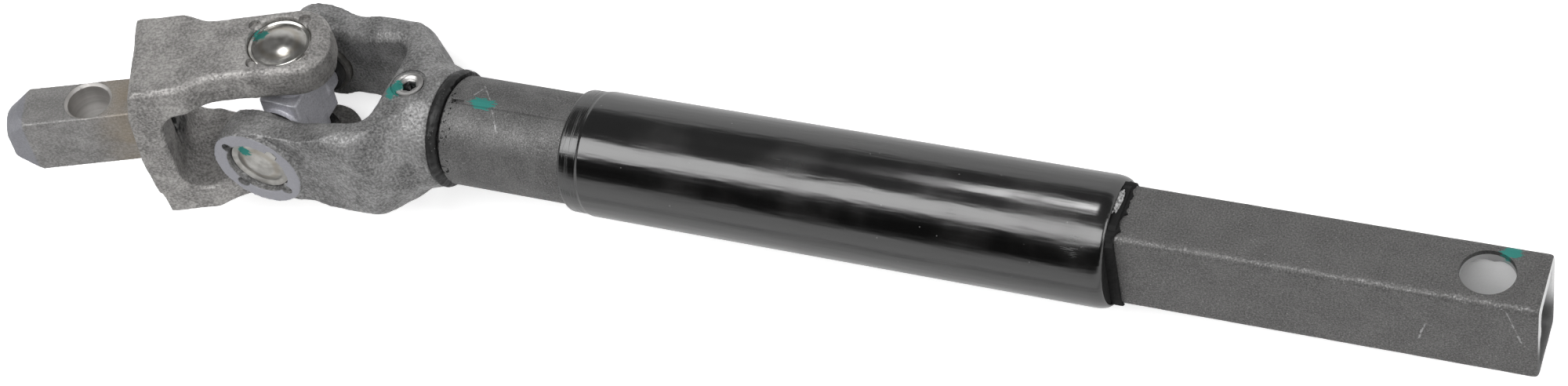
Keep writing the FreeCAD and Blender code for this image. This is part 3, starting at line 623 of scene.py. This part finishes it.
def stub_steel():
    tree, point, close = new_material("stub steel", input_side)
    skin = grainy(tree, point, 2.0, 0.4, grey(0.18, 0.02), grey(0.38, 0.02))
    x, y, z = parts_of(tree, point)
    peened = maths(tree, "GREATER_THAN", x, STUB_SPIGOT_FROM)
    warm = times(tree, fade(tree, x, -53.0, -41.0), cloud(tree, point, 0.2))
    colour = tint(tree, times(tree, warm, 0.8), skin["Color"], (0.36, 0.29, 0.2, 1))
    turned_end = fade(tree, x, STUB_TURNED_TO, STUB_TURNED_TO - 0.8)
    colour = tint(tree, times(tree, turned_end, 0.7), colour, (0.3, 0.305, 0.34, 1))
    dents = fade(tree, cloud(tree, point, 0.55, 5.0), 0.42, 0.6)
    colour = tint(tree, peened, colour, tint(tree, dents, grey(0.2, 0.02), grey(0.02)))
    rim = STUB_HOLE_RADIUS + STUB_HOLE_EASE
    bored = inverse(tree, fade(tree, from_axis(tree, x, y, STUB_HOLE), rim - 0.08, rim))
    arcs = streaks(tree, point, (0.05, 0.05, 0.9))
    shine = tint(tree, arcs, grey(0.3, 0.04), grey(0.62, 0.03))
    colour = tint(tree, bored, colour, shine)
    rough = maths(tree, "SUBTRACT", skin["Rough"], times(tree, bored, 0.12))
    height = times(tree, skin["Height"], inverse(tree, bored))
    return close(colour, rough, height, 0.12, Metallic=0.75)


def eased_hole(radius, edge, half_height):
    # A hole's cutter with a chamfer at both mouths.
    reach = half_height + 1
    return [(-reach, 0), (-reach, radius + edge + 1), (edge - half_height, radius),
            (half_height - edge, radius), (reach, radius + edge + 1), (reach, 0)]


stub = forged("input_stub_bar", "input_stub", 0.3, 5, 0.06)
machined(stub, [turned("stub hole", eased_hole(STUB_HOLE_RADIUS, STUB_HOLE_EASE, STUB_HALF_HEIGHT),
                       input_side @ Matrix.Translation(STUB_HOLE))])
finish(stub, stub_steel())
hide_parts("input_stub")
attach(stub, "input")

# The round tube is drawn steel with a dull even skin. It is pressed into the output yoke
# and punched with a slot, and handling has scored it lightly.
TUBE_SCORES = (((54.2, 4.4, 12.6), (58.2, -0.3, 13.3), (62.5, -7.6, 10.9)),
               ((53.4, 0.6, 13.3), (55.0, 3.6, 12.9)))
TUBE_DAB = ((56.5, -1.5, 13.3), (4.2, 1.8, 4.0))
SPLASHED_TO = 53.0


def round_tube_steel():
    tree, point, close = new_material("round tube steel", shaft)
    skin = grainy(tree, point, 3.0, 0.25, grey(0.08, 0.01), grey(0.24, 0.01))
    x, y, z = parts_of(tree, point)
    near_ring = inverse(tree, fade(tree, x, SPLASHED_TO - 5.5, SPLASHED_TO))
    splash = maths(tree, "ADD", cloud(tree, point, 1.0, 2.0), times(tree, near_ring, 0.22))
    specks = fade(tree, splash, 0.8, 0.83)
    marks = use_group(tree, scratches, {"Place": point, "Stretch": (0.5, 0.5, 0.9), "Share": -0.04})[0]
    colour = tint(tree, times(tree, marks, 0.6), skin["Color"], grey(0.4))
    colour = tint(tree, specks, colour, grey(0.012))
    colour = scored(tree, colour, point, (1, 1, 0.1), TUBE_SCORES, grey(0.32))
    colour, rough = dabbed(tree, colour, skin["Rough"], point, *TUBE_DAB)
    return close(colour, rough, skin["Height"], 0.05, Metallic=0.7)


tube = finish(merged_copy("round_tube_drawn", "round_tube"), round_tube_steel(), 25)
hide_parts("round_tube")
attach(tube, "shaft")

# Black sealing compound is wiped into the joint line between yoke and tube by hand. It
# dries lumpy and half dull, and its edge towards the tube wanders.
BEAD_START = 44.2
BEAD_WIDTH = 3.0
BEAD_NARROWEST = 1.2
BEAD_RADIUS = 14.05
BEAD_CROWN = 0.45
JOINT_GROOVE = (44.5, 46.9, 11.4)


def sealant_finish():
    tree, point, close = new_material("sealing compound", shaft)
    lumps = cloud(tree, point, 0.8, 4.0)
    dust = fade(tree, cloud(tree, point, 2.4, 2.0), 0.68, 0.74)
    return close(tint(tree, dust, grey(0.003), grey(0.16)), spread(tree, lumps, 0.3, 0.65), lumps, 0.25)


def sealant_bead():
    groove_start, groove_end, groove_radius = JOINT_GROOVE
    section = [(groove_start, groove_radius)]
    steps = 14
    for step in range(steps + 1):
        share = step / steps
        section.append((BEAD_START + BEAD_WIDTH * share,
                        BEAD_RADIUS + BEAD_CROWN * math.sin(math.pi * share)))
    section.append((groove_end, groove_radius))
    bead = turned("sealant_bead", section, Matrix(), 260)
    for vertex in bead.data.vertices:
        x, y, z = vertex.co
        radius = math.hypot(x, y)
        if radius > groove_radius + 1:
            round_joint = Vector((x, y, 0)) / radius
            across = (z - BEAD_START) / BEAD_WIDTH
            bump = noise.noise(vertex.co * 0.35) + 0.5 * noise.noise(vertex.co * 1.1)
            wander = noise.noise(round_joint * 2.2) + 0.5 * noise.noise(round_joint * 9)
            width = 2.0 + 0.5 * round_joint.y - 0.6 * round_joint.x + 0.8 * wander
            vertex.co.z = BEAD_START + across * min(BEAD_WIDTH, max(BEAD_NARROWEST, width))
            vertex.co.xy *= 1 + 0.01 * bump
    bead.data.transform(shaft @ ALONG_X)
    return bead


bead = finish(sealant_bead(), sealant_finish(), 60)
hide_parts("sealant_ring")
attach(bead, "shaft")

# A turned steel plug with a countersunk hexagon socket is screwed into the yoke's saddle
# and locks the tube there. It keeps bright turning rings, and painted shade darkens its socket.
PLUG_DAB = ((-2.6, -1.4, 14.0), (1.5, 2.4, 3.0))
KEY_REACH = 2.0
KEY_TOP = 13.5


def plug_steel():
    tree, point, close = new_material("plug steel", screw_line)
    x, y, z = parts_of(tree, point)
    reach = from_axis(tree, x, y)
    rings = cloud(tree, put(tree, "CombineXYZ", {0: reach}).outputs[0], 2.5, 2.0)
    colour = tint(tree, rings, grey(0.25, 0.02), grey(0.6, 0.02))
    # Painted shade: the hexagon socket is darkened from just below its top down.
    socket_painted_shade = times(tree, maths(tree, "LESS_THAN", reach, KEY_REACH),
                   inverse(tree, fade(tree, z, KEY_TOP - 0.6, KEY_TOP)))
    colour = tint(tree, socket_painted_shade, colour, grey(0.02))
    colour, rough = dabbed(tree, colour, spread(tree, rings, 0.25, 0.4), point, *PLUG_DAB)
    return close(colour, rough, rings, 0.06, Metallic=0.9)


plug = finish(merged_copy("locking_plug", "locking_screw"), plug_steel(), 30)
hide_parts("locking_screw")
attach(plug, "shaft")

# The outer sleeve is thin steel tube, crimped to the round tube at one end, rolled over
# at the other and dipped in gloss black. It has dust and fine rubs from handling.
SLEEVE_RADIUS = 15.07
SLEEVE_BORE = 13.87
SLEEVE_START = 79.8
SLEEVE_END = 213.0
CRIMP_BORE = 13.36
CRIMP_RADIUS = 14.77
CRIMP_END = 84.8
ROLL_LENGTH = 3.4
ROLL_DROP = 1.15


def sleeve_section():
    # The crimp with its rounded edge and its step, the straight wall and the rolled end.
    outside = [(SLEEVE_START, CRIMP_BORE), (SLEEVE_START, CRIMP_RADIUS - 0.47),
               (SLEEVE_START + 0.25, CRIMP_RADIUS - 0.15), (SLEEVE_START + 0.6, CRIMP_RADIUS - 0.03),
               (CRIMP_END - 0.5, CRIMP_RADIUS), (CRIMP_END - 0.1, CRIMP_RADIUS + 0.03),
               (CRIMP_END + 0.15, SLEEVE_RADIUS - 0.07), (CRIMP_END + 0.6, SLEEVE_RADIUS)]
    steps = 8
    for step in range(steps + 1):
        share = math.pi / 2 * step / steps
        outside.append((SLEEVE_END - ROLL_LENGTH * (1 - math.sin(share)),
                        SLEEVE_RADIUS - ROLL_DROP * (1 - math.cos(share))))
    return outside + [(SLEEVE_END, SLEEVE_BORE), (CRIMP_END, SLEEVE_BORE), (CRIMP_END, CRIMP_BORE)]


def gloss_black():
    tree, point, close = new_material("gloss black", shaft)
    rubs = use_group(tree, scratches, {"Place": point, "Stretch": (0.08, 0.7, 0.7), "Share": -0.02})[0]
    grit = put(tree, "TexVoronoi", {"Vector": point, "Scale": 0.32, "Randomness": 1.0})
    dust = inverse(tree, fade(tree, grit.outputs["Distance"], 0.03, 0.055))
    bloom = fade(tree, cloud(tree, point, 0.06, 4.0), 0.4, 0.75)
    marks = maths(tree, "MAXIMUM", times(tree, rubs, 0.09), times(tree, dust, 0.6))
    colour = tint(tree, marks, tint(tree, bloom, grey(0.002), grey(0.006, 0.05)), grey(0.25))
    rough = maths(tree, "ADD", spread(tree, bloom, 0.17, 0.28), times(tree, rubs, 0.07))
    x, y, z = parts_of(tree, point)
    on_crimp = maths(tree, "LESS_THAN", x, CRIMP_END - 0.2)
    rolled_in = fade(tree, streaks(tree, point, (4.0, 0.12, 0.12), 3.0), 0.5, 0.72)
    scoring = times(tree, on_crimp, rolled_in)
    rough = maths(tree, "ADD", rough, times(tree, scoring, 0.3))
    colour = tint(tree, times(tree, scoring, 0.1), colour, grey(0.3))
    ripple = streaks(tree, point, (0.05, 0.4, 0.4))
    height = maths(tree, "SUBTRACT", ripple, times(tree, rubs, 0.1))
    return close(colour, rough, height, 0.1, IOR=1.85)


sleeve = finish(turned("sleeve_tube", sleeve_section(), shaft @ ALONG_X, 192), gloss_black(), 40)
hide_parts("outer_sleeve")
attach(sleeve, "shaft")

# The isolator is black rubber moulded between the sleeve and the socket tube. Its flash is
# torn off round the tube, and a crumb of dried bonding agent is left in the hollow there.
LIP_START = 212.2
LIP_END = 213.4
LIP_RISE = 2.0
LIP_THICKNESS = 0.6
FLAP_ANGLE = math.radians(234)
FLAP_SPREAD = 0.09
CRUMB_PLACE = (213.3, 1.0, 12.85)
SOCKET_HALF_WIDTH = 8.4
SOCKET_HALF_HEIGHT = 11.55
SOCKET_CORNER = 1.4


def isolator_finish():
    tree, point, close = new_material("isolator rubber", shaft)
    grain = cloud(tree, point, 0.7, 4.0)
    return close(tint(tree, grain, grey(0.002), grey(0.008)), spread(tree, grain, 0.6, 0.85), grain, 0.2,
                 Specular_IOR_Level=0.3)


rubber = isolator_finish()
dress("isolator_rubber", rubber)


def tube_outline(offset, count):
    # Evenly turned points round the socket tube's section, a little outside it.
    half_width, half_height = SOCKET_HALF_WIDTH + offset, SOCKET_HALF_HEIGHT + offset
    corner = SOCKET_CORNER + offset
    points = []
    for number in range(count):
        angle = 2 * math.pi * number / count
        ahead = Vector((math.cos(angle), math.sin(angle)))
        reach = min(half_width / max(abs(ahead.x), 1e-6), half_height / max(abs(ahead.y), 1e-6))
        spot = ahead * reach
        inner = Vector((max(-half_width + corner, min(half_width - corner, spot.x)),
                        max(-half_height + corner, min(half_height - corner, spot.y))))
        out = spot - inner
        points.append(inner + out.normalized() * corner if out.length > corner else spot)
    return points


def torn_lip():
    # What is left of the flash: longer on top, ragged, and with one flap at a lower corner.
    count = 240
    inside, outside = tube_outline(0.03, count), tube_outline(LIP_THICKNESS, count)
    work = bmesh.new()
    rings = []
    for number, (near, far) in enumerate(zip(inside, outside)):
        angle = 2 * math.pi * number / count
        spot = Vector((math.cos(angle), math.sin(angle), 0))
        rag = noise.noise(spot * 3) + 0.8 * noise.noise(spot * 8) + 0.35 * noise.noise(spot * 19)
        flap = math.exp(-((angle - FLAP_ANGLE) / FLAP_SPREAD) ** 2)
        tip = max(LIP_START + 0.4, LIP_END + LIP_RISE * max(0.0, spot.y) + 1.3 * flap + 1.1 * rag)
        bulge = far + (far - near) * 0.35 * noise.noise(spot * 7)
        middle = (near + bulge) / 2
        rings.append([work.verts.new((along, place.x, place.y)) for along, place in (
            (LIP_START, near), (tip, near), (tip - 0.1, middle), (tip - 0.35, bulge),
            (LIP_START, bulge))])
    for number, ring in enumerate(rings):
        following = rings[(number + 1) % count]
        for here in range(5):
            there = (here + 1) % 5
            work.faces.new((ring[here], following[here], following[there], ring[there]))
    bmesh.ops.recalc_face_normals(work, faces=work.faces)
    mesh = bpy.data.meshes.new("torn lip")
    work.to_mesh(mesh)
    work.free()
    mesh.transform(shaft)
    return new_piece("isolator_torn_lip", mesh)


def chip_form():
    # A long flat crumb with a broken surface.
    along, aside, up = CRUMB_PLACE
    work = bmesh.new()
    bmesh.ops.create_icosphere(work, subdivisions=4, radius=1.0)
    for vertex in work.verts:
        lump = 1 + 0.35 * noise.noise(vertex.co * 1.7) + 0.2 * noise.noise(vertex.co * 5)
        x, y, z = vertex.co * lump
        vertex.co = (along + 0.95 * x + 0.25 * y, aside + 3.0 * y, up + 0.85 * z + 0.2 * y)
    mesh = bpy.data.meshes.new("chip")
    work.to_mesh(mesh)
    work.free()
    mesh.transform(shaft)
    return new_piece("bonding_crumb", mesh)


def crumb_finish():
    tree, point, close = new_material("dried bonding agent", shaft)
    grain = cloud(tree, point, 1.6, 5.0)
    return close(tint(tree, fade(tree, grain, 0.35, 0.65), grey(0.12), grey(0.5)), 0.6, grain, 0.3)


lip = finish(torn_lip(), rubber, 60)
crumb = finish(chip_form(), crumb_finish(), 60)
for piece in (lip, crumb):
    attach(piece, "shaft")

# The socket tube is steel drawn to a rectangle and drilled through for the clamp bolt. Its
# corners are nicked bright, partly wear and partly a painted highlight, its inside and its cut
# end are bare, with the inside painted pale as painted light, its bolt hole's wall is darkened
# as painted shade, and painted shade darkens its mouth below.
BOLT_HOLE = (293.56, 0, 0)
BOLT_HOLE_RADIUS = 5.89
FILLING_RADIUS = 6.6
FILLING_INSET = 0.05
SOCKET_WALL = 2.4
SOCKET_CUT = 305.6
MOUTH_PAINTED_SHADE_FROM = 299.5
SOCKET_DAB = ((297.2, 6.3, 11.5), (2.6, 2.0, 3.0))
SOCKET_SCORES = (((298.1, -8.4, 10.6), (299.1, -8.4, 9.9), (302.2, -8.4, 0.7), (303.7, -8.4, -1.1)),
                 ((283.5, -8.4, 1.1), (282.3, -8.4, 1.4), (281.2, -8.4, -1.9), (280.8, -8.4, -4.3)))


def socket_steel():
    tree, point, close = new_material("socket tube steel", shaft)
    skin = grainy(tree, point, 2.6, 0.12, grey(0.09, 0.015), grey(0.25, 0.015))
    x, y, z = parts_of(tree, point)
    across = maths(tree, "ABSOLUTE", y)
    upward = maths(tree, "ABSOLUTE", z)
    inside = times(tree, maths(tree, "LESS_THAN", across, SOCKET_HALF_WIDTH - SOCKET_WALL / 2),
                   maths(tree, "LESS_THAN", upward, SOCKET_HALF_HEIGHT - SOCKET_WALL / 2))
    hole_wall_painted_shade = maths(tree, "LESS_THAN", from_axis(tree, x, y, BOLT_HOLE), BOLT_HOLE_RADIUS + 0.06)
    bare_and_painted_light = maths(tree, "MAXIMUM", inside, maths(tree, "GREATER_THAN", x, SOCKET_CUT))
    inset = SOCKET_CORNER * (1 - math.sqrt(0.5))
    ridge = from_axis(tree, across, upward,
                      (SOCKET_HALF_WIDTH - inset, SOCKET_HALF_HEIGHT - inset, 0))
    nicks = times(tree, fade(tree, cloud(tree, point, 2.6, 2.0), 0.5, 0.78),
                  fade(tree, cloud(tree, point, 0.35, 3.0), 0.35, 0.65))
    # The corners are lightened with speckled nicks: partly wear, partly a painted highlight along the edges.
    rubbed_and_painted_sheen = times(tree, inverse(tree, fade(tree, ridge, 0.1, 1.2)), nicks)
    marks = use_group(tree, scratches, {"Place": point, "Stretch": (0.5, 0.9, 0.9), "Share": -0.08})[0]
    wear_and_painted_sheen = maths(tree, "MAXIMUM", times(tree, rubbed_and_painted_sheen, 0.36), marks)
    colour = tint(tree, wear_and_painted_sheen, skin["Color"], grey(0.5))
    colour = scored(tree, colour, point, (1, 0.1, 1), SOCKET_SCORES, grey(0.36))
    # Painted shade: the inside is darkened towards the mouth and further down.
    mouth = times(tree, fade(tree, x, MOUTH_PAINTED_SHADE_FROM, MOUTH_PAINTED_SHADE_FROM + 1.5), fade(tree, z, 3.0, -5.0))
    # The bare inside and cut end are pale and not metallic; on the inside this pale colour is painted light.
    colour = tint(tree, bare_and_painted_light, colour, tint(tree, mouth, grey(0.72), grey(0.1)))
    # Painted shade: the bolt hole's wall is darkened.
    colour = tint(tree, times(tree, hole_wall_painted_shade, 0.6), colour, grey(0.05))
    colour, rough = dabbed(tree, colour, skin["Rough"], point, *SOCKET_DAB)
    metal = times(tree, inverse(tree, bare_and_painted_light), 0.65)
    return close(colour, rough, skin["Height"], 0.06, Metallic=metal)


bolt_line = shaft @ Matrix.Translation(BOLT_HOLE)
fillings = []
for low in (-SOCKET_HALF_HEIGHT, SOCKET_HALF_HEIGHT - SOCKET_WALL):
    disc = rod(FILLING_RADIUS, low + FILLING_INSET, low + SOCKET_WALL - FILLING_INSET)
    fillings.append(turned("hole filling", disc, bolt_line))
socket = forged("socket_tube_drawn", "socket_tube", 0.65, 9, 0.03, fillings)
machined(socket, [turned("bolt hole", rod(BOLT_HOLE_RADIUS, -13, 13), bolt_line)])
finish(socket, socket_steel())
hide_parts("socket_tube")
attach(socket, "shaft")

# The studio: a camera at the photograph's angle, a long soft lamp over the shaft, two small
# lamps for the open end and the cups, a pale room with dark panels and a plain pale floor.
CAMERA_PLACE = shaft @ Vector((369.5, -370.8, 481.5))
CAMERA_TARGET = shaft @ Vector((133.6, -4.0, 2.2))
CAMERA_UP = shaft.to_3x3().normalized() @ Vector((-0.1596, 0.7445, 0.6482))
CAMERA_LENS = 64.55
LAMP_DISTANCE = 1.1
FLOOR_REACH = 3


def aimed(place, target, up):
    back = (place - target).normalized()
    right = up.cross(back).normalized()
    return Matrix((right, back.cross(right), back)).transposed().to_4x4()


camera_data = bpy.data.cameras.new("camera")
camera_data.lens = CAMERA_LENS
camera_data.sensor_width = 36
camera = bpy.data.objects.new("camera", camera_data)
camera.matrix_world = Matrix.Translation(CAMERA_PLACE) @ aimed(CAMERA_PLACE, CAMERA_TARGET, CAMERA_UP)
bpy.context.scene.collection.objects.link(camera)
bpy.context.scene.camera = camera


def soft_lamp(name, toward, size, strength):
    # A rectangular lamp whose long side follows the shaft.
    toward = (shaft.to_3x3() @ Vector(toward)).normalized()
    data = bpy.data.lights.new(name, "AREA")
    data.shape = "RECTANGLE"
    data.size, data.size_y = size
    data.energy = strength * math.pi * size[0] * size[1]
    lamp = bpy.data.objects.new(name, data)
    place = CAMERA_TARGET + toward * LAMP_DISTANCE
    over = shaft.to_3x3().normalized() @ Vector((0, 0.79, 0.48))
    lamp.matrix_world = Matrix.Translation(place) @ aimed(place, CAMERA_TARGET, over)
    bpy.context.scene.collection.objects.link(lamp)


soft_lamp("lamp over the shaft", (-0.14, -0.50, 0.79), (2.1, 0.55), 4.2)
soft_lamp("lamp at the open end", (0.85, -0.1, 0.5), (0.5, 0.5), 3.0)
soft_lamp("lamp behind the joint", (-0.18, 0.22, 0.96), (0.22, 0.22), 9.0)

world = bpy.data.worlds.new("studio")
world.use_nodes = True
sky = world.node_tree
sky.nodes.clear()
direction = put(sky, "SeparateXYZ", {0: put(sky, "TexCoord").outputs["Generated"]})
near_side = fade(sky, direction.outputs[2], 0.42, 0.62)
far_side = fade(sky, direction.outputs[2], -0.08, 0.12)
across = fade(sky, direction.outputs[1], -0.15, 0.15)
dark = put(sky, "Mix", {0: across, 2: near_side, 3: far_side}).outputs[0]
shade = tint(sky, across, grey(0.01), grey(0.16))
studio = tint(sky, dark, grey(1.0), shade)
sky.links.new(put(sky, "Background", {"Color": studio, "Strength": 1.0}).outputs[0],
              put(sky, "OutputWorld").inputs[0])
bpy.context.scene.world = world

floor_mesh = bpy.data.meshes.new("floor")
corners = [(x * FLOOR_REACH, y * FLOOR_REACH, 0) for x, y in ((-1, -1), (1, -1), (1, 1), (-1, 1))]
floor_mesh.from_pydata(corners, [], [(0, 1, 2, 3)])
floor = new_piece("floor", floor_mesh)
material = bpy.data.materials.new("pale floor")
material.use_nodes = True
tree = material.node_tree
tree.nodes.clear()
matt = put(tree, "BsdfDiffuse", {"Color": grey(0.8)})
glow = put(tree, "Emission", {"Color": grey(1.0), "Strength": 0.6})
seen = put(tree, "LightPath").outputs["Is Camera Ray"]
lit = put(tree, "AddShader", {0: matt.outputs[0], 1: glow.outputs[0]})
both = put(tree, "MixShader", {0: seen, 1: matt.outputs[0], 2: lit.outputs[0]})
tree.links.new(both.outputs[0], put(tree, "OutputMaterial").inputs[0])
floor_mesh.materials.append(material)

bpy.context.scene.view_settings.view_transform = "Standard"
bpy.context.view_layer.update()
